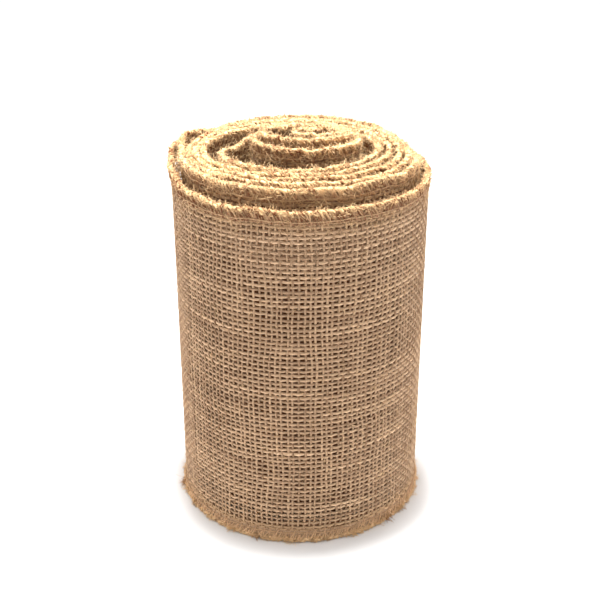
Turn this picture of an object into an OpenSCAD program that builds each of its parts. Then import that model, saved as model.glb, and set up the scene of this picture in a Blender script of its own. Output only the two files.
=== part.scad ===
// Roll of wide jute ribbon, standing on end.
// One strip of hessian with overlocked edges, wound on itself without a core. The middle of the roll
// has slipped upwards in two steps. Millimetres, +Z up, origin on the floor under the middle of the roll.

/* [Ribbon] */
// Width of the strip, edge to edge
ribbon_w = 152.4; // [145:0.1:160]
// Thickness of the woven cloth
cloth_t = 1.2; // [0.8:0.1:1.4]
// Depth of the overlock stitches, from the edge into the cloth
edging_d = 4; // [3:0.5:6]
// Thickness of the thread layer on each face of the cloth
thread_t = 0.5; // [0.4:0.05:0.55]

/* [Winding] */
// Radius of the outermost lap, at the middle of the cloth
outer_r = 53; // [50:0.5:56]
// Inward step of each turn of the outer and middle laps
lap_pitch = 4; // [3.9:0.05:4.2]
// Sideways shift of each middle lap, which crowds the laps together on the left
lap_drift = 0.55; // [0:0.05:0.6]
// Extra room behind the outermost lap, which has sprung loose
loose_gap = 1.5; // [0.5:0.1:2]
// Room that opens between the middle laps and the core
core_gap = 9.2; // [8:0.1:10]
// Inward step of each turn of the core laps
core_pitch = 5.25; // [5:0.05:5.4]
// Direction in which the outer cut end points away from the middle, seen from above
end_azimuth = 75; // [40:1:90]
// How much longer than wide the innermost middle lap is, as a share of its radius
lap_oval = 0.1; // [0:0.01:0.1]
// The same for the core, beyond that
core_oval = 0.03; // [0:0.01:0.04]
// How much flatter each turn of the core is pressed than the one round it
core_squash = 0.13; // [0.08:0.01:0.14]

/* [Slipped laps] */
// Height of the second lap above the outermost one
mid_rise = 6.6; // [4:0.1:8]
// Height that each middle lap has slipped above the one round it
lap_creep = 0.35; // [0:0.05:0.5]
// Height of the core's outer lap above the innermost middle lap
core_rise = 4.1; // [4:0.1:5]
// Height of the core's inner laps above its outer one
core_creep = 2.8; // [2:0.1:3]

/* [Frayed ends] */
// Diameter of one yarn
yarn_d = 1; // [0.8:0.1:1.1]
// Longest loose yarn beyond the outer cut end
outer_fray_l = 7; // [4:0.5:10]
// Longest loose yarn beyond the inner cut end
inner_fray_l = 3; // [2:0.5:4]

/* [Hidden] */

cloth_colour = "#9c7d63";
edging_colour = "#c29a68";
fray_colour = "#b8946a";

// Where each length of strip begins and ends, in turns counted inwards from the outer cut end
tail_tip_span = [0, 0.10];
tail_root_span = [0.10, 0.20];
outer_lap_span = [0.20, 0.60];
outer_rise_span = [0.60, 1.15];
second_lap_span = [1.15, 2.1];
third_lap_span = [2.1, 3.05];
fourth_lap_span = [3.05, 4.0];
fifth_lap_span = [4.0, 4.9];
sixth_lap_span = [4.9, 5.75];
core_rise_span = [5.75, 6.4];
core_outer_span = [6.4, 7.4];
core_inner_span = [7.4, 8.6];
inner_end_span = [8.6, 9.0];

steps_per_turn = 64;   // straight facets in one turn of the strip
joint_cut = 0.5;       // gap between two lengths that move apart
lap_cut = 0.1;         // gap between two lengths of one body
skin = 0.05;           // gap between the cloth and the thread round it

// Smooth step from 0 to 1 as x goes from a to b
function ease(x, a, b) = let (u = min(1, max(0, (x - a) / (b - a)))) u * u * (3 - 2 * u);

// The winding after t turns: azimuth, mean radius, ovalness, centre and the middle of the cloth
first_t = 0.55;        // where the outermost lap begins to wind inwards
mid_t = 5.75;          // where the middle laps end
core_t = 6.45;         // where the core begins to wind inwards
rise_pitch = 2.6;      // inward step for each turn between the middle laps and the core
core_shift = 4.4;      // how far the core stands back to the right
curl_gap = 1.8;        // extra inward step of the innermost turn
curl_shift = 4.3;      // how far the innermost turn lies to the right in the one round it
wobble = 0.2;          // unevenness of the radius
function azimuth(t) = end_azimuth - 360 * t;
function turns_past(t, a, b) = min(b, max(a, t)) - a;
function wind_r(t) = outer_r - lap_pitch * turns_past(t, first_t, mid_t) - loose_gap * ease(t, 0.55, 1.35)
    - core_gap * ease(t, 5.4, 6.3) - rise_pitch * turns_past(t, mid_t, core_t)
    - core_pitch * max(0, t - core_t) - curl_gap * ease(t, 7.7, 8.4) + wobble * sin(800 * t);
function oval(t) = lap_oval * min(t, 6.5) / 6.5 + core_oval * ease(t, 5.6, 6.4)
    + core_squash * turns_past(t, 6.9, 8.3);
function centre(t) = ease(t, 0.6, 1.6) * [-0.7, 0.6]
    + [core_shift * ease(t, 5.4, 6.3) + curl_shift * ease(t, 7.7, 8.4)
       - lap_drift * turns_past(t, 1.35, 5.6), 0];
function mid_line(t) = centre(t)
    + wind_r(t) * [(1 + oval(t)) * cos(azimuth(t)), (1 - oval(t)) * sin(azimuth(t))];

// Direction of travel along the strip, and the outward direction across it
function unit(v) = v / norm(v);
function along(t) = unit(mid_line(t + 0.001) - mid_line(t - 0.001));
function outward(t) = let (a = along(t)) [-a[1], a[0]];

// Height of the strip's two edges. The top edge slips up before the bottom edge leaves the floor
function inner_slip(t) = lap_creep * turns_past(t, 1.2, 5.6) + core_rise * ease(t, 5.7, 6.3)
    + core_creep * ease(t, 6.8, 7.4);
function top_z(t) = ribbon_w + mid_rise * ease(t, 0.58, 0.95) + inner_slip(t);
function bottom_z(t) = mid_rise * ease(t, 0.76, 1.1) + inner_slip(t);

// Turns that make a distance of d along the strip at t
function turns_of(d, t) = 0.002 * d / norm(mid_line(t + 0.001) - mid_line(t - 0.001));
// A span shortened at both ends by half of the gaps g0 and g1
function trimmed(span, g0, g1) = [span[0] + turns_of(g0 / 2, span[0]), span[1] - turns_of(g1 / 2, span[1])];
// Stations along a span
function stations(span) = let (n = max(4, ceil((span[1] - span[0]) * steps_per_turn)))
    [for (i = [0:n]) span[0] + (span[1] - span[0]) * i / n];

// Corners of a closed section swept along a span. Each section point is [distance outwards,
// height above the bottom edge, height above the top edge]: the height of one of the edges is undef.
function section_point(t, p) = let (m = mid_line(t) + p[0] * outward(t))
    [m[0], m[1], p[1] == undef ? top_z(t) + p[2] : bottom_z(t) + p[1]];
module swept(span, section) {
    ts = stations(span);
    n = len(section);
    last = len(ts) - 1;
    points = [for (t = ts) for (p = section) section_point(t, p)];
    sides = [for (i = [0:last - 1]) for (j = [0:n - 1]) let (k = (j + 1) % n)
        for (f = [[i * n + j, i * n + k, (i + 1) * n + k], [i * n + j, (i + 1) * n + k, (i + 1) * n + j]]) f];
    polyhedron(points, concat(sides, [[for (j = [n - 1:-1:0]) j]], [[for (j = [0:n - 1]) last * n + j]]),
        convexity = 8);
}

// Woven cloth over a span
module cloth(span) {
    color(cloth_colour)
        swept(span, [[-cloth_t / 2, thread_t + skin, undef], [-cloth_t / 2, undef, -thread_t - skin],
            [cloth_t / 2, undef, -thread_t - skin], [cloth_t / 2, thread_t + skin, undef]]);
}

// Overlock thread round an edge: a channel, with its web over the edge and a leg on each face
in_r = cloth_t / 2 + skin;
out_r = in_r + thread_t;
module top_edging(span) {
    color(edging_colour)
        swept(span, [[-out_r, undef, -edging_d], [-out_r, undef, 0], [out_r, undef, 0],
            [out_r, undef, -edging_d], [in_r, undef, -edging_d], [in_r, undef, -thread_t],
            [-in_r, undef, -thread_t], [-in_r, undef, -edging_d]]);
}
module bottom_edging(span) {
    color(edging_colour)
        swept(span, [[-out_r, 0, undef], [-out_r, edging_d, undef], [-in_r, edging_d, undef],
            [-in_r, thread_t, undef], [in_r, thread_t, undef], [in_r, edging_d, undef],
            [out_r, edging_d, undef], [out_r, 0, undef]]);
}

// Loose warp yarns beyond a cut end: short round rods, turned a little outwards or inwards one by one.
// side is -1 before the outer end and 1 past the inner end, longest the length of the longest yarn.
fray_count = 30;
fray_swing = 14;       // widest angle between a loose yarn and the strip, degrees
fray_clear = 0.4;      // gap between the cloth's end and the rods
module fray(t, side, longest) {
    a = side * along(t);
    low = bottom_z(t) + edging_d + yarn_d;
    high = top_z(t) - edging_d - yarn_d;
    color(fray_colour)
        for (i = [0:fray_count - 1]) {
            l = longest * (0.45 + 0.55 * abs(sin(137 * i)));
            swing = fray_swing * sin(97 * i);
            m = mid_line(t);
            translate([m[0], m[1], low + (high - low) * (i + 0.5) / fray_count])
                rotate([0, 90, atan2(a[1], a[0]) + swing])
                    translate([0, 0, fray_clear])
                        cylinder(d = yarn_d, h = l - fray_clear, $fn = 16);
        }
}

// Spans with their end gaps
tail_tip = trimmed(tail_tip_span, 0, joint_cut);
tail_root = trimmed(tail_root_span, joint_cut, joint_cut);
outer_lap = trimmed(outer_lap_span, joint_cut, lap_cut);
outer_rise = trimmed(outer_rise_span, lap_cut, joint_cut);
second_lap = trimmed(second_lap_span, joint_cut, lap_cut);
third_lap = trimmed(third_lap_span, lap_cut, lap_cut);
fourth_lap = trimmed(fourth_lap_span, lap_cut, lap_cut);
fifth_lap = trimmed(fifth_lap_span, lap_cut, lap_cut);
sixth_lap = trimmed(sixth_lap_span, lap_cut, lap_cut);
core_rising = trimmed(core_rise_span, lap_cut, joint_cut);
core_outer = trimmed(core_outer_span, joint_cut, lap_cut);
core_inner = trimmed(core_inner_span, lap_cut, joint_cut);
inner_end = trimmed(inner_end_span, joint_cut, 0);

cloth(tail_tip);  // tail_tip_cloth
cloth(tail_root);  // tail_root_cloth
cloth(outer_lap);  // outer_lap_cloth
cloth(outer_rise);  // outer_rise_cloth
cloth(second_lap);  // second_lap_cloth
cloth(third_lap);  // third_lap_cloth
cloth(fourth_lap);  // fourth_lap_cloth
cloth(fifth_lap);  // fifth_lap_cloth
cloth(sixth_lap);  // sixth_lap_cloth
cloth(core_rising);  // core_rise_cloth
cloth(core_outer);  // core_outer_cloth
cloth(core_inner);  // core_inner_cloth
cloth(inner_end);  // inner_end_cloth

top_edging(tail_tip);  // tail_tip_top_edging
top_edging(tail_root);  // tail_root_top_edging
top_edging(outer_lap);  // outer_lap_top_edging
top_edging(outer_rise);  // outer_rise_top_edging
top_edging(second_lap);  // second_lap_top_edging
top_edging(third_lap);  // third_lap_top_edging
top_edging(fourth_lap);  // fourth_lap_top_edging
top_edging(fifth_lap);  // fifth_lap_top_edging
top_edging(sixth_lap);  // sixth_lap_top_edging
top_edging(core_rising);  // core_rise_top_edging
top_edging(core_outer);  // core_outer_top_edging
top_edging(core_inner);  // core_inner_top_edging
top_edging(inner_end);  // inner_end_top_edging

bottom_edging(tail_tip);  // tail_tip_bottom_edging
bottom_edging(tail_root);  // tail_root_bottom_edging
bottom_edging(outer_lap);  // outer_lap_bottom_edging
bottom_edging(outer_rise);  // outer_rise_bottom_edging
bottom_edging(second_lap);  // second_lap_bottom_edging
bottom_edging(third_lap);  // third_lap_bottom_edging
bottom_edging(fourth_lap);  // fourth_lap_bottom_edging
bottom_edging(fifth_lap);  // fifth_lap_bottom_edging
bottom_edging(sixth_lap);  // sixth_lap_bottom_edging
bottom_edging(core_rising);  // core_rise_bottom_edging
bottom_edging(core_outer);  // core_outer_bottom_edging
bottom_edging(core_inner);  // core_inner_bottom_edging
bottom_edging(inner_end);  // inner_end_bottom_edging

fray(tail_tip[0], -1, outer_fray_l);  // outer_end_fray
fray(inner_end[1], 1, inner_fray_l);  // inner_end_fray
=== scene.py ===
"""Roll of wide jute ribbon, wound on itself without a core and standing on end."""
import math

import bpy
import numpy as np
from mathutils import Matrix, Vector


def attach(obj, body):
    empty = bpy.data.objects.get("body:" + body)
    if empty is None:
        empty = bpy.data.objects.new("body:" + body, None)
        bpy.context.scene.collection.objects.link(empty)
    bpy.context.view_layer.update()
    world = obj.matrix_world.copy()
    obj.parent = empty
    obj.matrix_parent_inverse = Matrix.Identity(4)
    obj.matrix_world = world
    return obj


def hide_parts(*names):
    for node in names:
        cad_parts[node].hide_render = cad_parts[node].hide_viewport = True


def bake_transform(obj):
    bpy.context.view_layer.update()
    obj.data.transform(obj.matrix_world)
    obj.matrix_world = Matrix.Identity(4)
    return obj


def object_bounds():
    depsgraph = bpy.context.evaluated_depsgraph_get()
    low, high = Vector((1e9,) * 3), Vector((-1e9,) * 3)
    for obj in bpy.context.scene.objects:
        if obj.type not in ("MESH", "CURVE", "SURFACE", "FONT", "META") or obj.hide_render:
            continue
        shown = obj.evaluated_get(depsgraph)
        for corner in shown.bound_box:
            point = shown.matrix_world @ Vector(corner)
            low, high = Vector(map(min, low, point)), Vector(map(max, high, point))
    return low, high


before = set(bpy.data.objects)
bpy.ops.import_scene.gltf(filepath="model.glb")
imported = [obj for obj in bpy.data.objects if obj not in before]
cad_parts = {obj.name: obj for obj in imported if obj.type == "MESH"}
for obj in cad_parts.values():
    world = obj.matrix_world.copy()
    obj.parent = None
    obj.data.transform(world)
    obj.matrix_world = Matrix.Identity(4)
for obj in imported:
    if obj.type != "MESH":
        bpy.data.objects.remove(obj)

cad_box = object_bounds()
MM = 0.001


# ---------------------------------------------------------------- The room
# A white table in a white tent: one wide soft light above, paler light from all round that is
# weakest on the camera's side, and a camera that looks down on the front of the roll.

def clear_selection():
    for o in list(bpy.context.selected_objects):
        o.select_set(False)


def nodes_of(material):
    material.use_nodes = True
    tree = material.node_tree
    tree.nodes.clear()
    return tree


def add_node(tree, kind, **inputs):
    node = tree.nodes.new(kind)
    for name, value in inputs.items():
        node.inputs[name.replace("_", " ")].default_value = value
    return node


clear_selection()
bpy.ops.mesh.primitive_plane_add(size=6, location=(0, 0, 0))
floor = bpy.context.object
floor.name = "table_top"
paper = bpy.data.materials.new("white_table")
tree = nodes_of(paper)
surface = add_node(tree, "ShaderNodeBsdfPrincipled", Base_Color=(0.82, 0.82, 0.82, 1), Roughness=0.9)
surface.inputs["Specular IOR Level"].default_value = 0.1
output = tree.nodes.new("ShaderNodeOutputMaterial")
tree.links.new(surface.outputs["BSDF"], output.inputs["Surface"])
floor.data.materials.append(paper)

tent = bpy.data.worlds.new("tent")
bpy.context.scene.world = tent
tent.use_nodes = True
tree = tent.node_tree
tree.nodes.clear()
where = tree.nodes.new("ShaderNodeTexCoord")
axes = tree.nodes.new("ShaderNodeSeparateXYZ")
depth = add_node(tree, "ShaderNodeMapRange")
depth.inputs["From Min"].default_value = -1
depth.inputs["From Max"].default_value = 0.2
depth.inputs["To Min"].default_value = 0.34
depth.inputs["To Max"].default_value = 1.25
sky = add_node(tree, "ShaderNodeBackground", Color=(1, 1, 1, 1))
output = tree.nodes.new("ShaderNodeOutputWorld")
tree.links.new(where.outputs["Generated"], axes.inputs["Vector"])
tree.links.new(axes.outputs["Y"], depth.inputs["Value"])
tree.links.new(depth.outputs["Result"], sky.inputs["Strength"])
tree.links.new(sky.outputs["Background"], output.inputs["Surface"])


def area_light(name, place, target, size, power):
    bpy.ops.object.light_add(type="AREA", location=place)
    lamp = bpy.context.object
    lamp.name = name
    lamp.data.shape = "SQUARE"
    lamp.data.size = size
    lamp.data.energy = power
    lamp.rotation_euler = (Vector(target) - Vector(place)).to_track_quat("-Z", "Y").to_euler()
    return lamp


roll_top = cad_box[1].z
area_light("overhead_light", (-0.008, 0.034, 0.95), (0, 0, roll_top / 2), 0.12, 16.5)
area_light("left_light", (-0.9, 0.0, 0.45), (0, 0, roll_top / 2), 0.6, 1.8)
area_light("right_light", (0.9, 0.1, 0.45), (0, 0, roll_top / 2), 0.6, 1.3)

camera_far = 0.4467
camera_high = 0.3034
camera_pitch = 25.52
focal_share = 1.875
bpy.ops.object.camera_add(location=(0, -camera_far, camera_high),
                          rotation=(math.radians(90 - camera_pitch), 0, 0))
camera = bpy.context.object
camera.data.sensor_width = 36
camera.data.lens = focal_share * camera.data.sensor_width
camera.data.clip_start = 0.01
bpy.context.scene.camera = camera
bpy.context.scene.view_settings.view_transform = "Standard"


# ---------------------------------------------------------------- The winding
# The ribbon is one strip 1.83 m long. It is wound clockwise inwards, as seen from above, without
# a core. Its outermost lap has sprung a little loose, and the inner laps have slipped up in two steps.

strip_w = 152.4 * MM
turns = 9.0
outer_r = 53 * MM
lap_pitch = 4 * MM
lap_drift = 0.55 * MM
loose_gap = 1.5 * MM
core_gap = 9.2 * MM
rise_pitch = 2.6 * MM
core_pitch = 5.25 * MM
core_shift = 4.4 * MM
curl_gap = 1.8 * MM
curl_shift = 4.3 * MM
wobble = 0.2 * MM
lap_oval = 0.1
core_oval = 0.03
core_squash = 0.13
end_azimuth = 75.0
mid_rise = 6.6 * MM
lap_creep = 0.35 * MM
core_rise = 4.1 * MM
core_creep = 2.8 * MM


def ease(x, a, b):
    u = np.clip((x - a) / (b - a), 0, 1)
    return u * u * (3 - 2 * u)


def turns_past(t, a, b):
    return np.clip(t, a, b) - a


def mid_line(t):
    """The middle of the cloth, seen from above, t turns in from the outer cut end."""
    t = np.asarray(t, float)
    radius = (outer_r - lap_pitch * turns_past(t, 0.55, 5.75) - loose_gap * ease(t, 0.55, 1.35)
              - core_gap * ease(t, 5.4, 6.3) - rise_pitch * turns_past(t, 5.75, 6.45)
              - core_pitch * np.maximum(0, t - 6.45) - curl_gap * ease(t, 7.7, 8.4)
              + wobble * np.sin(np.radians(800 * t)))
    oval = (lap_oval * np.minimum(t, 6.5) / 6.5 + core_oval * ease(t, 5.6, 6.4)
            + core_squash * turns_past(t, 6.9, 8.3))
    angle = np.radians(end_azimuth - 360 * t)
    slip = ease(t, 0.6, 1.6)
    centre_x = (-0.7 * MM * slip + core_shift * ease(t, 5.4, 6.3) + curl_shift * ease(t, 7.7, 8.4)
                - lap_drift * turns_past(t, 1.35, 5.6))
    return np.stack([centre_x + radius * (1 + oval) * np.cos(angle),
                     0.6 * MM * slip + radius * (1 - oval) * np.sin(angle)], -1)


def inner_slip(t):
    return (lap_creep * turns_past(t, 1.2, 5.6) + core_rise * ease(t, 5.7, 6.3)
            + core_creep * ease(t, 6.8, 7.4))


def top_z(t):
    return strip_w + mid_rise * ease(t, 0.58, 0.95) + inner_slip(t)


def bottom_z(t):
    return mid_rise * ease(t, 0.76, 1.1) + inner_slip(t)


turn_table = np.linspace(0, turns, 20001)
steps = np.linalg.norm(np.diff(mid_line(turn_table), axis=0), axis=1)
length_table = np.concatenate([[0], np.cumsum(steps)])
strip_l = float(length_table[-1])


def turn_at(s):
    """Turns from the outer cut end at a distance s along the strip, which runs on past either end."""
    s = np.asarray(s, float)
    inside = np.interp(s, length_table, turn_table)
    rate0 = turn_table[1] / length_table[1]
    rate1 = (turn_table[-1] - turn_table[-2]) / (length_table[-1] - length_table[-2])
    return np.where(s < 0, s * rate0, np.where(s > strip_l, turns + (s - strip_l) * rate1, inside))


def length_at(t):
    return float(np.interp(t, turn_table, length_table))


def frame_at(t):
    """Middle of the cloth, direction along it and direction outwards, all as 3-D vectors."""
    m = mid_line(t)
    d = mid_line(t + 0.0005) - mid_line(t - 0.0005)
    d /= np.linalg.norm(d, axis=-1, keepdims=True)
    zero = np.zeros(d.shape[:-1] + (1,))
    along = np.concatenate([d, zero], -1)
    outward = np.stack([-d[..., 1], d[..., 0], zero[..., 0]], -1)
    return np.concatenate([m, zero], -1), along, outward


# How far down the top edge is ruffled and pulled, and how much the foot spreads on the table
ruffle_depth = 12 * MM
pull_depth = 26 * MM
foot_height = 6 * MM
foot_spread = 0.6 * MM

# Where the top edge has been pulled out of line: turn, reach in turns, then how far out and up
pulls = [(0.755, 0.035, 4.0 * MM, 1.6 * MM), (1.765, 0.032, 3.6 * MM, 2.0 * MM),
         (1.18, 0.07, -1.4 * MM, -3.2 * MM), (2.17, 0.05, -0.5 * MM, -1.0 * MM),
         (0.17, 0.08, 0, -1.5 * MM), (5.77, 0.07, -1.6 * MM, -2.6 * MM)]


def noise(x, seed):
    """Smooth noise from -1 to 1 along x, one cycle in about two units."""
    table = np.random.default_rng(seed).random(4096) * 2 - 1
    i = np.floor(x).astype(int)
    u = x - i
    u = u * u * (3 - 2 * u)
    return table[i % 4096] * (1 - u) + table[(i + 1) % 4096] * u


def pulled(t, which):
    return sum(pull[which] * np.exp(-((t - pull[0]) / pull[1]) ** 2) for pull in pulls)


def on_strip(s, out, z):
    """Points at a distance s along the strip, out from its middle, and at a height z."""
    t = turn_at(s)
    m, _, outward = frame_at(t)
    top = top_z(t)
    room = np.where(t < 1.1, 0.7 * MM, 0.25 * MM)
    ruffle = room * noise(t * 26, 91) * ease(z, top - ruffle_depth, top)
    flare = pulled(t, 2) * ease(z, top - pull_depth, top)
    foot = foot_spread * (0.75 + 0.5 * noise(t * 44, 94)) * (1 - ease(t, 0.8, 1.0))
    foot = foot * (1 - ease(z, 0, foot_height))
    p = m + (out + ruffle + flare + foot)[..., None] * outward
    p[..., 2] = z
    return p


# ---------------------------------------------------------------- The woven cloth
# Plain-woven hessian of single jute yarns, 11 weft and 12 warp yarns to the inch, so loose that the
# square holes between the yarns show. The warp runs along the strip. Each yarn rises over one
# crossing yarn and dips under the next, and swells and thins as spun jute does.

weft_pitch = 2.27 * MM
warp_pitch = 2.05 * MM
warp_half_w = 0.66 * MM
weft_half_w = 0.50 * MM
yarn_half_t = 0.36 * MM
warp_crimp = 0.30 * MM
weft_crimp = 0.34 * MM
wall_half_t = 0.45 * MM
dense_hem = 5.5 * MM
# Heights of the thin dark sheets of painted shade behind the yarns: up to this above the foot, and
# stopping this far below the top edge.
foot_shade_sheet_top = 10 * MM
top_shade_sheet_gap = 8 * MM


def noise_xy(x, y, seed):
    """Smooth noise from -1 to 1 over a plane."""
    table = np.random.default_rng(seed).random((256, 256)) * 2 - 1
    i, j = np.floor(x).astype(int), np.floor(y).astype(int)
    u, v = x - i, y - j
    u, v = u * u * (3 - 2 * u), v * v * (3 - 2 * v)
    a = table[i % 256, j % 256] * (1 - u) + table[(i + 1) % 256, j % 256] * u
    b = table[i % 256, (j + 1) % 256] * (1 - u) + table[(i + 1) % 256, (j + 1) % 256] * u
    return a * (1 - v) + b * v


def tubes(centre, lean, half_w, half_t, sides, tone, gold):
    """A batch of yarns. centre is (yarns, points, 3), and lean is the way their thickness points."""
    t = np.gradient(centre, axis=1)
    t /= np.maximum(np.linalg.norm(t, axis=-1, keepdims=True), 1e-12)
    n = lean - (lean * t).sum(-1, keepdims=True) * t
    n /= np.maximum(np.linalg.norm(n, axis=-1, keepdims=True), 1e-12)
    b = np.cross(n, t)
    a = 2 * np.pi * np.arange(sides) / sides
    half_w = np.broadcast_to(half_w, centre.shape[:2])
    half_t = np.broadcast_to(half_t, centre.shape[:2])
    points = (centre[:, :, None] + (half_w[..., None] * np.cos(a))[..., None] * b[:, :, None]
              + (half_t[..., None] * np.sin(a))[..., None] * n[:, :, None])
    run = np.concatenate([np.zeros((len(centre), 1)),
                          np.cumsum(np.linalg.norm(np.diff(centre, axis=1), axis=-1), 1)], 1)
    start = np.random.default_rng(len(centre) + sides).random((len(centre), 1))
    return {"points": points, "run": run + start, "tone": np.broadcast_to(tone, centre.shape[:2]),
            "gold": np.broadcast_to(gold, centre.shape[:2])}


def wall(s0, s1, low, high, tone, half_t, out=0.0, rows=2):
    """A plain wall of cloth from s0 to s1, between two heights above the bottom edge of the strip; at
    tone 0 it is a dark sheet in the shade colour, painted shade.
    """
    s = np.linspace(s0, s1, max(2, int((s1 - s0) / (2.5 * MM))))
    t = turn_at(s)
    up = np.linspace(low, high, rows)
    section = [(-1, low)] + [(1, h) for h in up] + [(-1, h) for h in up[:0:-1]]
    corner = [on_strip(s, out + way * half_t, place_z(t, h)) for way, h in section]
    points = np.stack(corner, 1)[None]
    shape = points.shape[:2]
    return {"points": points, "run": s[None], "tone": np.full(shape, tone), "gold": np.full(shape, 0.1),
            "flat": True}


def make_piece(name, batches, material):
    """One mesh of closed tubes, with a UV map (round and along each yarn) and two attributes."""
    verts, loops, starts, uvs, tones, golds, smooth = [], [], [], [], [], [], []
    base, loop_base = 0, 0
    for batch in batches:
        p = batch["points"]
        yarns, rows, sides, _ = p.shape
        grid = base + np.arange(yarns * rows * sides).reshape(yarns, rows, sides)
        nxt = np.roll(grid, -1, axis=2)
        quad = np.stack([grid[:, :-1], nxt[:, :-1], nxt[:, 1:], grid[:, 1:]], -1).reshape(-1, 4)
        u0 = np.broadcast_to(np.arange(sides) / sides, (yarns, rows - 1, sides))
        u1 = u0 + 1 / sides
        v0 = np.broadcast_to(batch["run"][:, :-1, None], u0.shape)
        v1 = np.broadcast_to(batch["run"][:, 1:, None], u0.shape)
        uv = np.stack([np.stack([u0, v0], -1), np.stack([u1, v0], -1), np.stack([u1, v1], -1),
                       np.stack([u0, v1], -1)], -2).reshape(-1, 2)
        caps = np.concatenate([grid[:, 0, ::-1], grid[:, -1]])
        cap_v = np.concatenate([batch["run"][:, 0], batch["run"][:, -1]])
        cap_uv = np.stack([np.tile(np.arange(sides) / sides, len(caps)), np.repeat(cap_v, sides)], -1)
        verts.append(p.reshape(-1, 3))
        loops += [quad.reshape(-1), caps.reshape(-1)]
        starts += [loop_base + 4 * np.arange(len(quad)),
                   loop_base + 4 * len(quad) + sides * np.arange(len(caps))]
        uvs += [uv, cap_uv]
        tones.append(np.repeat(batch["tone"].reshape(-1), sides))
        golds.append(np.repeat(batch["gold"].reshape(-1), sides))
        smooth += [np.full(len(quad), not batch.get("flat")), np.zeros(len(caps), bool)]
        base += yarns * rows * sides
        loop_base += 4 * len(quad) + sides * len(caps)
    verts, loops, starts = np.concatenate(verts), np.concatenate(loops), np.concatenate(starts)
    mesh = bpy.data.meshes.new(name)
    mesh.vertices.add(len(verts))
    mesh.vertices.foreach_set("co", verts.astype(np.float32).ravel())
    mesh.loops.add(len(loops))
    mesh.loops.foreach_set("vertex_index", loops.astype(np.int32))
    mesh.polygons.add(len(starts))
    mesh.polygons.foreach_set("loop_start", starts.astype(np.int32))
    mesh.polygons.foreach_set("use_smooth", np.concatenate(smooth))
    mesh.update(calc_edges=True)
    layer = mesh.uv_layers.new(name="yarn")
    layer.data.foreach_set("uv", np.concatenate(uvs).astype(np.float32).ravel())
    for key, values in (("tone", tones), ("gold", golds)):
        attribute = mesh.attributes.new(key, "FLOAT", "POINT")
        attribute.data.foreach_set("value", np.concatenate(values).astype(np.float32))
    mesh.materials.append(material)
    mesh.validate()
    piece = bpy.data.objects.new(name, mesh)
    bpy.context.scene.collection.objects.link(piece)
    return piece


def jute_group():
    """Fibres twisted round a yarn: streaks along it, a tone partly its own and partly painted light and
    shade, and gold where it is fresher, which on the overlock wraps is also painted light.
    """
    group = bpy.data.node_groups.new("jute_fibres", "ShaderNodeTree")
    for name, kind in (("Yarn", "Vector"), ("Tone", "Float"), ("Gold", "Float"),
                       ("Shade", "Color"), ("Body", "Color"), ("Golden", "Color")):
        group.interface.new_socket(name, in_out="INPUT", socket_type="NodeSocket" + kind)
    group.interface.new_socket("Color", in_out="OUTPUT", socket_type="NodeSocketColor")
    group.interface.new_socket("Height", in_out="OUTPUT", socket_type="NodeSocketFloat")
    nodes, links = group.nodes, group.links
    source, sink = nodes.new("NodeGroupInput"), nodes.new("NodeGroupOutput")

    def math_node(operation, a, b=None):
        node = nodes.new("ShaderNodeMath")
        node.operation = operation
        for socket, value in zip(node.inputs, (a, b)):
            if value is None:
                continue
            if isinstance(value, (int, float)):
                socket.default_value = value
            else:
                links.new(value, socket)
        return node.outputs[0]

    split = nodes.new("ShaderNodeSeparateXYZ")
    links.new(source.outputs["Yarn"], split.inputs[0])
    turn = math_node("ADD", math_node("MULTIPLY", split.outputs["X"], 2 * math.pi),
                     math_node("MULTIPLY", split.outputs["Y"], 900))
    ring = nodes.new("ShaderNodeCombineXYZ")
    links.new(math_node("COSINE", turn), ring.inputs["X"])
    links.new(math_node("SINE", turn), ring.inputs["Y"])
    links.new(math_node("MULTIPLY", split.outputs["Y"], 120), ring.inputs["Z"])
    streaks = nodes.new("ShaderNodeTexNoise")
    streaks.inputs["Scale"].default_value = 3.2
    streaks.inputs["Detail"].default_value = 3
    streaks.inputs["Roughness"].default_value = 0.65
    links.new(ring.outputs[0], streaks.inputs["Vector"])
    fine = math_node("SUBTRACT", streaks.outputs["Fac"], 0.5)
    amount = math_node("ADD", math_node("MULTIPLY", fine, 1.3), source.outputs["Tone"])
    clamp = nodes.new("ShaderNodeClamp")
    links.new(amount, clamp.inputs["Value"])
    lit = nodes.new("ShaderNodeMix")
    lit.data_type = "RGBA"
    links.new(source.outputs["Gold"], lit.inputs["Factor"])
    links.new(source.outputs["Body"], lit.inputs["A"])
    links.new(source.outputs["Golden"], lit.inputs["B"])
    colour = nodes.new("ShaderNodeMix")
    colour.data_type = "RGBA"
    links.new(clamp.outputs[0], colour.inputs["Factor"])
    links.new(source.outputs["Shade"], colour.inputs["A"])
    links.new(lit.outputs["Result"], colour.inputs["B"])
    links.new(colour.outputs["Result"], sink.inputs["Color"])
    links.new(streaks.outputs["Fac"], sink.inputs["Height"])
    return group


jute_fibres = jute_group()


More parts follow.
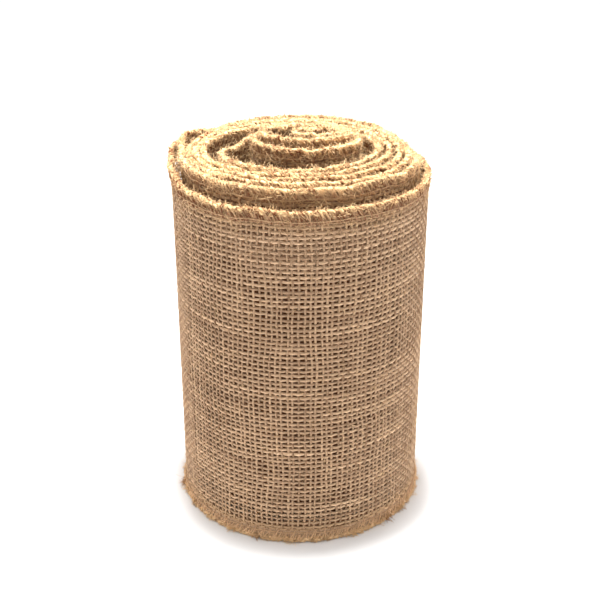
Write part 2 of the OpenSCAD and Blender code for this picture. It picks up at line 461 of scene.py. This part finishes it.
def jute_material(name, shade, body, golden, bump=0.35):
    material = bpy.data.materials.new(name)
    tree = nodes_of(material)
    links = tree.links
    fibres = tree.nodes.new("ShaderNodeGroup")
    fibres.node_tree = jute_fibres
    yarn = tree.nodes.new("ShaderNodeUVMap")
    yarn.uv_map = "yarn"
    links.new(yarn.outputs["UV"], fibres.inputs["Yarn"])
    for key in ("tone", "gold"):
        value = tree.nodes.new("ShaderNodeAttribute")
        value.attribute_name = key
        links.new(value.outputs["Fac"], fibres.inputs[key.capitalize()])
    for key, colour in (("Shade", shade), ("Body", body), ("Golden", golden)):
        fibres.inputs[key].default_value = (*colour, 1)
    relief = add_node(tree, "ShaderNodeBump", Strength=bump, Distance=0.0002)
    links.new(fibres.outputs["Height"], relief.inputs["Height"])
    surface = add_node(tree, "ShaderNodeBsdfPrincipled", Roughness=0.85)
    surface.inputs["Specular IOR Level"].default_value = 0.2
    surface.inputs["Sheen Weight"].default_value = 0.05
    surface.inputs["Sheen Roughness"].default_value = 0.5
    links.new(fibres.outputs["Color"], surface.inputs["Base Color"])
    links.new(relief.outputs["Normal"], surface.inputs["Normal"])
    output = tree.nodes.new("ShaderNodeOutputMaterial")
    links.new(surface.outputs["BSDF"], output.inputs["Surface"])
    return material


def linear(r, g, b):
    """A colour given as it looks on a screen, from 11 to 255, as the shader wants it."""
    return tuple(((c / 255 + 0.055) / 1.055) ** 2.4 for c in (r, g, b))


# Shade is the dark end of each yarn's tone, and the whole colour of the dark walls and sheets at tone
# 0, which are painted shade.
cloth_jute = jute_material("woven_jute", linear(96, 60, 32), linear(216, 181, 147),
                           linear(224, 182, 134))

overlock_depth = 4.8 * MM
dense_depth = 8.2 * MM


def warp_heights():
    """Distance of each warp yarn above the bottom edge: closer together beside the overlocked edges."""
    edge = [0.9 * MM, 2.0 * MM, 3.1 * MM, 4.2 * MM, 5.6 * MM, 7.0 * MM]
    count = round((strip_w - 2 * dense_depth) / warp_pitch)
    middle = dense_depth + (strip_w - 2 * dense_depth) * (np.arange(count) + 0.5) / count
    return np.concatenate([edge, middle, strip_w - np.array(edge[::-1])])


warp_h = warp_heights()
weft_count = int(strip_l / weft_pitch)


def weft_s(i, h):
    """Place of weft yarn i along the strip at a height h: near its pitch, never quite straight."""
    jitter = np.random.default_rng(11).random(weft_count + 4)[np.clip(i, 0, weft_count + 3)] - 0.5
    return (i + 0.5 + 0.28 * jitter + 0.30 * noise_xy(i * 0.11, h * 60, 5)
            + 0.10 * noise_xy(i * 0.5, h * 220, 6)) * weft_pitch


def place_z(t, h):
    """Real height of a point that lies h above the bottom edge on the flat strip."""
    uneven = 0.55 * MM * noise(t * 30, 92) + 0.3 * MM * noise(t * 90, 93) + pulled(t, 3)
    uneven = uneven * ease(h, strip_w - 16 * MM, strip_w)
    return bottom_z(t) + h / strip_w * (top_z(t) - bottom_z(t)) + uneven


def edge_gold(h):
    """How golden the yarn is: fully at the two overlocked edges, hardly in the middle."""
    near = np.minimum(h, strip_w - h)
    return 0.12 + 0.75 * (1 - ease(near, 1 * MM, 12 * MM))


def weave(t0, t1, low):
    """Warp and weft yarns between t0 and t1 turns, from a height low up to the top edge.

    Below it, where only the holes show it, the cloth is a plain wall, and a thin sheet backs the yarns;
    both are in the dark shade colour, painted shade seen through the holes, except the light dense hem
    at the foot of the outer laps.
    """
    s0, s1 = length_at(t0), length_at(t1)
    first, last = int(np.ceil(s0 / weft_pitch - 0.5)), int(np.ceil(s1 / weft_pitch - 0.5))
    use = warp_h[warp_h >= low]
    j0 = len(warp_h) - len(use)
    batches = []

    k = np.arange(2 * first - 1, 2 * last + 1)
    k = k[(k / 2 + 0.5) * weft_pitch > s0]
    k = k[(k / 2 + 0.5) * weft_pitch < s1]
    place = np.concatenate([[s0], (k / 2 + 0.5) * weft_pitch, [s1]])
    cycle = place / weft_pitch - 0.5
    j = j0 + np.arange(len(use))
    h = use[:, None] + 0.24 * MM * noise_xy(place[None] * 60, j[:, None] * 0.9, 21)
    t = turn_at(place)[None]
    swing = np.cos(np.pi * (cycle[None] + j[:, None]))
    thick = 1 + 0.22 * noise_xy(place[None] * 95, j[:, None] * 7.3, 22)
    thick = thick + 0.5 * np.maximum(0, noise_xy(place[None] * 38, j[:, None] * 5.1, 23) - 0.45)
    centre = on_strip(np.broadcast_to(place[None], h.shape), warp_crimp * swing, place_z(t, h))
    lean = np.broadcast_to(frame_at(t)[2], centre.shape)
    tone = (0.66 + 0.24 * noise_xy(place[None] * 45, j[:, None] * 3.7, 24)
            + 0.14 * noise(j[:, None] * 1.7, 25))
    # On the inner laps the yarns are darker from 7 to 14 mm below the top edge downwards: painted shade
    # between the laps.
    tone = tone - (0.1 * ease(strip_w - h, 7 * MM, 14 * MM) if low > 0 else 0)
    batches.append(tubes(centre, lean, warp_half_w * thick, yarn_half_t * (0.5 + 0.5 * thick), 5, tone,
                         edge_gold(h)))

    i = np.arange(first, last)
    stops = np.concatenate([[max(low - 1.6 * MM, 0.5 * MM)], use, [strip_w - 0.5 * MM]])
    mids = (use[1:] + use[:-1]) / 2
    hs = np.sort(np.concatenate([stops, mids]))
    jj = np.interp(hs, use, j)
    jj = np.where(hs < use[0], j[0] - 0.5, np.where(hs > use[-1], j[-1] + 0.5, jj))
    s = weft_s(np.broadcast_to(i[:, None], (len(i), len(hs))), hs[None])
    swing = -np.cos(np.pi * (i[:, None] + jj[None]))
    thick = 1 + 0.16 * noise_xy(hs[None] * 110, i[:, None] * 6.1, 32)
    thick = thick + 0.35 * np.maximum(0, noise_xy(hs[None] * 45, i[:, None] * 4.7, 33) - 0.45)
    t = turn_at(s)
    centre = on_strip(s, weft_crimp * swing, place_z(t, hs[None]))
    lean = frame_at(t)[2]
    tone = (0.54 + 0.22 * noise_xy(hs[None] * 60, i[:, None] * 2.9, 34)
            + 0.12 * noise(i[:, None] * 1.3, 35))
    # The same painted shade on the inner laps' wefts.
    tone = tone - (0.1 * ease(strip_w - hs[None], 7 * MM, 14 * MM) if low > 0 else 0)
    batches.append(tubes(centre, lean, weft_half_w * thick, yarn_half_t * (0.5 + 0.5 * thick), 5, tone,
                         edge_gold(np.broadcast_to(hs[None], s.shape))))
    if low == 0:
        batches.append(wall(s0, s1, 1 * MM, dense_hem, 0.6, wall_half_t))
        # A thin dark sheet behind the yarns above the hem: painted shade, so the holes look dark where
        # the table would show through.
        batches.append(wall(s0, s1, dense_hem, foot_shade_sheet_top, 0.0, 0.06 * MM, -0.45 * MM))
    else:
        # The hidden lower wall and a thin sheet behind the yarns, both in the dark shade colour:
        # painted shade between the laps, seen through the holes.
        batches.append(wall(s0, s1, 1 * MM, low, 0.0, wall_half_t))
        batches.append(wall(s0, s1, low, strip_w - top_shade_sheet_gap, 0.0, 0.08 * MM, rows=9))
    return batches


# Each length of strip: its name, its first and last turn, the height above which every yarn is
# modelled, and the body it rides on, or the two between which it bends and the turns where it does.
lengths = [
    ("tail_tip", 0, 0.14, 0, ("tail_root", "tail_tip", 0.14, 0.06)),
    ("tail_root", 0.14, 0.26, 0, ("outer_laps", "tail_root", 0.26, 0.15)),
    ("outer_lap_right", 0.26, 0.44, 0, "outer_laps"),
    ("outer_lap_front", 0.44, 0.62, 0, "outer_laps"),
    ("outer_rise_left", 0.62, 0.88, 0, ("outer_laps", "mid_laps", 0.62, 1.15)),
    ("outer_rise_back", 0.88, 1.15, 0, ("outer_laps", "mid_laps", 0.62, 1.15)),
    ("second_lap_start", 1.15, 1.28, 0, "mid_laps"),
    ("second_lap", 1.28, 2.1, strip_w - 36 * MM, "mid_laps"),
    ("third_lap", 2.1, 3.05, strip_w - 12 * MM, "mid_laps"),
    ("fourth_lap", 3.05, 4.0, strip_w - 12 * MM, "mid_laps"),
    ("fifth_lap", 4.0, 4.9, strip_w - 18 * MM, "mid_laps"),
    ("sixth_lap", 4.9, 5.75, strip_w - 40 * MM, "mid_laps"),
    ("core_rise", 5.75, 6.4, strip_w - 44 * MM, ("mid_laps", "core_laps", 5.75, 6.4)),
    ("core_outer", 6.4, 7.4, strip_w - 44 * MM, "core_laps"),
    ("core_inner", 7.4, 8.52, strip_w - 30 * MM, "core_laps"),
    ("inner_end", 8.52, turns, strip_w - 30 * MM, ("core_laps", "inner_end", 8.52, 8.68)),
]
cad_name = {"outer_lap_right": "outer_lap", "outer_lap_front": "outer_lap",
            "outer_rise_left": "outer_rise", "outer_rise_back": "outer_rise",
            "second_lap_start": "second_lap"}


def fix_to_body(piece, body):
    if isinstance(body, str):
        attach(piece, body)
    else:
        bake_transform(piece)


for name, t0, t1, low, body in lengths:
    piece = make_piece("weave_" + name, weave(t0, t1, low), cloth_jute)
    fix_to_body(piece, body)
    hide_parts(cad_name.get(name, name) + "_cloth")


# ---------------------------------------------------------------- The overlocked edges
# Both edges are serged with soft golden jute thread: a slanting wrap at every weft yarn, from about
# 4 mm inside the edge, over it and down the other side, locked by a chain that runs along the edge.

thread_r = 0.25 * MM
chain_r = 0.44 * MM
wrap_out = 0.9 * MM
thread_jute = jute_material("overlock_jute", linear(110, 60, 30), linear(222, 178, 140),
                            linear(255, 219, 162))
wrap_down = np.array([1.0, 0.72, 0.40, 0.12, 0.02, 0.12, 0.5, 1.0])
wrap_across = np.array([0.62, 0.85, 1.0, 1.02, 0, -1.02, -0.9, -0.6])
wrap_along = np.array([-1.0, -0.7, -0.3, 0.1, 0.4, 0.5, 0.2, -0.3])
wrap_slant = (1.0, 1.3, 0.8, -0.9, 1.1)
chain_step = 0.45 * MM
chain_twist = 4.6 * MM


def edging(t0, t1, top, wraps):
    """Stitches and edge chain along one edge from t0 to t1 turns, with so many wraps to a stitch."""
    s0, s1 = length_at(t0), length_at(t1)
    seed = 40 if top else 60
    first, last = int(np.ceil(s0 / weft_pitch)), int(np.ceil(s1 / weft_pitch))
    # The tone shift is darker on the outer lap's top edge than on the inner laps'; on the bottom edge
    # it is painted light, lightening the hem for light it would get from the table.
    edge_tone_and_painted_hem_light, golden = (-0.14 if t0 < 0.9 else 0.02, 0.9) if top else (0.5, 0.6)
    batches = []

    def laid(s, out, depth):
        """Points of a thread: depth is measured from the edge into the cloth."""
        t = turn_at(s)
        return on_strip(s, out, place_z(t, strip_w - depth if top else depth))

    # Wraps slant back down from the edge, and one in five crosses the others
    i = np.arange(first, last)
    for strand, slant in enumerate(wrap_slant[:wraps]):
        r = (np.random.default_rng(seed + strand).random((weft_count + 4, 8)) - 0.5)[i]
        reach = overlock_depth * (1 + 0.5 * r[:, 0:1]) * (1 if slant > 0 else 0.75)
        s = (i[:, None] + 0.5 + strand / wraps + 0.7 * r[:, 1:2]) * weft_pitch
        s = s + weft_pitch * slant * (1 + 0.9 * r[:, 2:3]) * wrap_along
        sway = 0.6 * MM * np.sin(wrap_down * 5 + 9 * r[:, 3:4]) * r[:, 4:5]
        depth = np.maximum(reach * wrap_down, 0.36 * MM)
        centre = laid(s + sway, wrap_out * wrap_across * (1 + 0.3 * r[:, 5:6]), depth)
        lean = np.cross(np.gradient(centre, axis=1), [0, 0, 1.0]) + 1e-9
        # Each wrap is lighter and more golden at the edge and darker and browner down the cloth:
        # painted light on the lit top of the rim and painted shade below it. The rest of its tone
        # varies at random.
        tone = (0.46 + 0.8 * r[:, 6:7]) * (1.3 - 0.75 * wrap_down) + edge_tone_and_painted_hem_light
        radius = thread_r * (1 + 0.6 * r[:, 7:8]) * np.ones(len(wrap_down))
        gold = golden * (1 - 0.95 * wrap_down) + 0 * radius
        batches.append(tubes(centre, lean, radius, radius * 0.85, 4, tone, gold))

    # The chain: loose strands lumped along the very edge, and the needle line under the wraps
    strands = 4 if wraps > 1 else 2
    s = np.linspace(s0, s1, max(8, int((s1 - s0) / chain_step)))
    for strand in range(strands):
        a = 2 * np.pi * (s / chain_twist + strand / strands) + 2.2 * noise(s * 400, seed + 12 + strand)
        out = 0.62 * MM * np.cos(a) + 0.45 * MM * noise(s * 1300, seed + 15 + strand)
        depth = 1.2 * MM - 0.55 * MM * np.sin(a) + 0.6 * MM * noise(s * 1200, seed + 18 + strand)
        size = chain_r * (1 + 0.7 * noise(s * 1100, seed + 21 + strand))
        centre = laid(s, out, np.maximum(depth, size + 0.05 * MM))[None]
        up = np.broadcast_to(np.array([0, 0, 1.0]), centre.shape)
        tone = 0.76 + edge_tone_and_painted_hem_light + 1.1 * noise(s * 1000, seed + 24 + strand)[None]
        batches.append(tubes(centre, up, size, size, 5, tone, golden))
    if wraps > 1:
        out = 0.85 * MM + 0.12 * MM * np.sin(2 * np.pi * s / weft_pitch)
        depth = overlock_depth * (0.95 + 0.06 * noise(s * 150, seed + 30))
        centre = laid(s, out, depth)[None]
        batches.append(tubes(centre, np.broadcast_to(np.array([0, 0, 1.0]), centre.shape),
                             thread_r, thread_r, 4, 0.66, 0.3))
    return batches


edging_pieces = {}
for name, t0, t1, low, body in lengths:
    buried = 2 < t0 < 4.5
    for side, wraps in (("top", 2 if buried else 5), ("bottom", 4 if t0 < 1.2 else 1)):
        piece = make_piece(f"overlock_{side}_{name}", edging(t0, t1, side == "top", wraps), thread_jute)
        fix_to_body(piece, body)
        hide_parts(f"{cad_name.get(name, name)}_{side}_edging")
        edging_pieces.setdefault(name, []).append(piece)


# ---------------------------------------------------------------- The cut ends
# The strip was cut across with shears and its ends left raw, so the last weft yarns have dropped out
# and the ends of the warp yarns stand free, untwisting and bent this way and that.

def loose_ends(s, way, longest, seed):
    rng = np.random.default_rng(seed)
    h = warp_h
    u = np.linspace(0, 1, 6)[None]
    r = rng.random((len(h), 6)) * 2 - 1
    long = longest * (0.55 + 0.45 * np.abs(r[:, 0:1]))
    place = s + way * long * u
    out = warp_crimp * 0.4 * r[:, 1:2] + 0.28 * long * r[:, 2:3] * u ** 2
    drop = 0.30 * long * r[:, 3:4] * u ** 2
    height = np.clip(h[:, None] + drop, 0.9 * MM, strip_w - 0.9 * MM)
    t = turn_at(np.broadcast_to(s, place.shape))
    m, along, outward = frame_at(t)
    centre = m + (place - s)[..., None] * along + out[..., None] * outward
    centre[..., 2] = place_z(t, height)
    lean = np.broadcast_to(outward, centre.shape)
    taper = (1 - 0.45 * u) * (1 + 0.15 * r[:, 4:5])
    tone = 0.62 + 0.2 * r[:, 5:6]
    return [tubes(centre, lean, weft_half_w * taper, yarn_half_t * taper, 6, tone, 0.3)]


outer_fray = make_piece("loose_yarns_outer", loose_ends(0.0, -1, 6.5 * MM, 71), cloth_jute)
fix_to_body(outer_fray, "tail_tip")
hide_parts("outer_end_fray")
inner_fray = make_piece("loose_yarns_inner", loose_ends(strip_l, 1, 3 * MM, 72), cloth_jute)
fix_to_body(inner_fray, "inner_end")
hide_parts("inner_end_fray")


# ---------------------------------------------------------------- Stray fibres
# Spun jute sheds fine stiff hairs. They stand out all along the overlocked rims, lie about on the face
# of the cloth, and gather in small tufts where the bottom edge rubs on the table.

hair_jute = jute_material("stray_fibres", linear(160, 108, 66), linear(230, 191, 147),
                          linear(253, 217, 164), bump=0.0)


def hairs(s, out, z, heading, long, bend, thick, joints, seed, tone=0.75, gold=0.8):
    """Bent hairs from points on the strip. heading and bend are (along, outward, up) for each hair."""
    t = turn_at(s)
    _, along, outward = frame_at(t)
    up = np.array([0, 0, 1.0])
    root = on_strip(s, out, z)
    way = heading[:, 0:1] * along + heading[:, 1:2] * outward + heading[:, 2:3] * up
    way /= np.linalg.norm(way, axis=1, keepdims=True)
    curve = bend[:, 0:1] * along + bend[:, 1:2] * outward + bend[:, 2:3] * up
    u = np.linspace(0, 1, joints)[None, :, None]
    centre = root[:, None] + long[:, None, None] * (way[:, None] * u + curve[:, None] * u ** 2)
    centre[..., 2] = np.maximum(centre[..., 2], 0.25 * MM)
    lean = np.broadcast_to(np.cross(way, curve + 1e-6)[:, None], centre.shape)
    size = thick[:, None] * np.linspace(1, 0.45, joints)
    shade = tone + 0.4 * (np.random.default_rng(seed).random((len(s), 1)) - 0.5)
    return tubes(centre, lean, size, size, 3, shade, gold)


def rim_fuzz(t0, t1, per_m, seed):
    """Short dense fuzz on the top rim, in lighter and darker lumps."""
    rng = np.random.default_rng(seed)
    s0, s1 = length_at(t0), length_at(t1)
    n = int((s1 - s0) * per_m)
    s = rng.uniform(s0, s1, n)
    side = rng.uniform(-1, 1, n)
    depth = rng.uniform(0.2, 2.6, n) * MM * np.abs(side) + 0.3 * MM
    z = place_z(turn_at(s), strip_w - depth)
    heading = np.stack([rng.normal(0, 1.0, n), side * 1.1 + rng.normal(0, 0.3, n),
                        0.6 - 0.4 * np.abs(side) + rng.normal(0, 0.3, n)], 1)
    tone = (0.62 if t0 < 0.9 else 0.9) + 0.45 * noise(s * 900, 95)[:, None]
    long = rng.uniform(0.7, 2.2, n) * MM
    bend = rng.normal(0, 0.3, (n, 3))
    thick = rng.uniform(0.07, 0.17, n) * MM
    return hairs(s, side * 1.15 * MM, z, heading, long, bend, thick, 3, seed, tone)


def rim_hairs(t0, t1, per_m, seed):
    """Longer single hairs that stand out of the top rim."""
    rng = np.random.default_rng(seed)
    s0, s1 = length_at(t0), length_at(t1)
    n = int((s1 - s0) * per_m)
    s = rng.uniform(s0, s1, n)
    out = rng.uniform(-1, 1, n)
    z = place_z(turn_at(s), strip_w - rng.uniform(0.2, 3.5, n) * MM)
    heading = np.stack([rng.normal(0, 1.3, n), out + rng.normal(0, 0.4, n),
                        rng.normal(0.1, 0.45, n)], 1)
    long = rng.uniform(2, 6, n) * MM
    bend = rng.normal(0, 0.35, (n, 3))
    thick = rng.uniform(0.035, 0.07, n) * MM
    return hairs(s, out * 1.2 * MM, z, heading, long, bend, thick, 5, seed)


def face_hairs(t0, t1, per_m2, seed, reach=strip_w, out=0.62 * MM, thick=0.07 * MM):
    """Hairs that lie about on the outer face of the cloth, within a reach of the top edge."""
    rng = np.random.default_rng(seed)
    s0, s1 = length_at(t0), length_at(t1)
    n = int((s1 - s0) * reach * per_m2)
    s = rng.uniform(s0, s1, n)
    z = place_z(turn_at(s), strip_w - rng.uniform(2.5 * MM, reach - 3 * MM, n))
    heading = np.stack([rng.normal(0, 1, n), math.copysign(1, out) * np.abs(rng.normal(0.12, 0.16, n)),
                        rng.normal(0, 0.8, n)], 1)
    bend = np.stack([rng.normal(0, 0.3, n), rng.normal(0.0, 0.10, n), rng.normal(0, 0.3, n)], 1)
    return hairs(s, np.full(n, out), z, heading, rng.uniform(1.5, 5, n) * MM, bend,
                 rng.uniform(0.4, 1.0, n) * thick, 4, seed, 0.8)


def foot_tufts(t0, t1, per_m, seed):
    """Tufts of untwisted yarn along the bottom edge, spread outwards on the table."""
    rng = np.random.default_rng(seed)
    s0, s1 = length_at(t0), length_at(t1)
    tufts, each = int((s1 - s0) * per_m), 16
    n = tufts * each
    centre = np.repeat(rng.uniform(s0, s1, tufts), each)
    reach = np.repeat(0.8 + 2.6 * rng.random(tufts) ** 4, each)
    tone = np.repeat(rng.uniform(0.2, 1.9, tufts), each)[:, None]
    drift = np.repeat(rng.normal(0, 0.7, tufts), each)
    s = centre + rng.normal(0, 0.6, n) * MM
    z = rng.uniform(0.3, 3.0, n) * MM + bottom_z(turn_at(s))
    heading = np.stack([drift + rng.normal(0, 0.35, n), np.abs(rng.normal(0.9, 0.3, n)),
                        rng.normal(-0.35, 0.35, n)], 1)
    return hairs(s, rng.uniform(0.3, 1.2, n) * MM, z, heading, reach * rng.uniform(0.5, 1.1, n) * MM,
                 rng.normal(0, 0.2, (n, 3)), rng.uniform(0.08, 0.17, n) * MM, 4, seed, tone, 0.6)


for k, (name, t0, t1, low, body) in enumerate(lengths):
    buried = 2 < t0 < 4.5
    batches = [rim_fuzz(t0, t1, per_m=4600 if buried else 7200, seed=400 + k),
               rim_hairs(t0, t1, per_m=900, seed=100 + k)]
    if t0 < 1:
        bare = min(t1, 1.0)
        batches += [face_hairs(t0, bare, per_m2=42000, seed=200 + k),
                    face_hairs(t0, bare, per_m2=120000, seed=500 + k, reach=13 * MM),
                    foot_tufts(t0, bare, per_m=620, seed=300 + k)]
    elif not buried:
        batches += [face_hairs(t0, t1, per_m2=330000, seed=500 + k, reach=16 * MM, out=1.1 * MM,
                               thick=0.12 * MM)]
    if 4 < t0 < 6.4:
        batches += [face_hairs(t0, t1, per_m2=420000, seed=600 + k, reach=20 * MM, out=-1.1 * MM,
                               thick=0.13 * MM)]
    if name == "outer_rise_back":
        # One fibre that has sprung up from the back of the rim and curls over
        s = np.array([length_at(1.008)])
        batches += [hairs(s, np.zeros(1), place_z(turn_at(s), strip_w),
                          heading=np.array([[0.2, 0.3, 1.0]]), long=np.array([6.5 * MM]),
                          bend=np.array([[-0.9, 0.2, -0.25]]), thick=np.array([0.16 * MM]),
                          joints=9, seed=7, tone=0.35)]
    piece = make_piece("stray_fibres_" + name, batches, hair_jute)
    fix_to_body(piece, body)
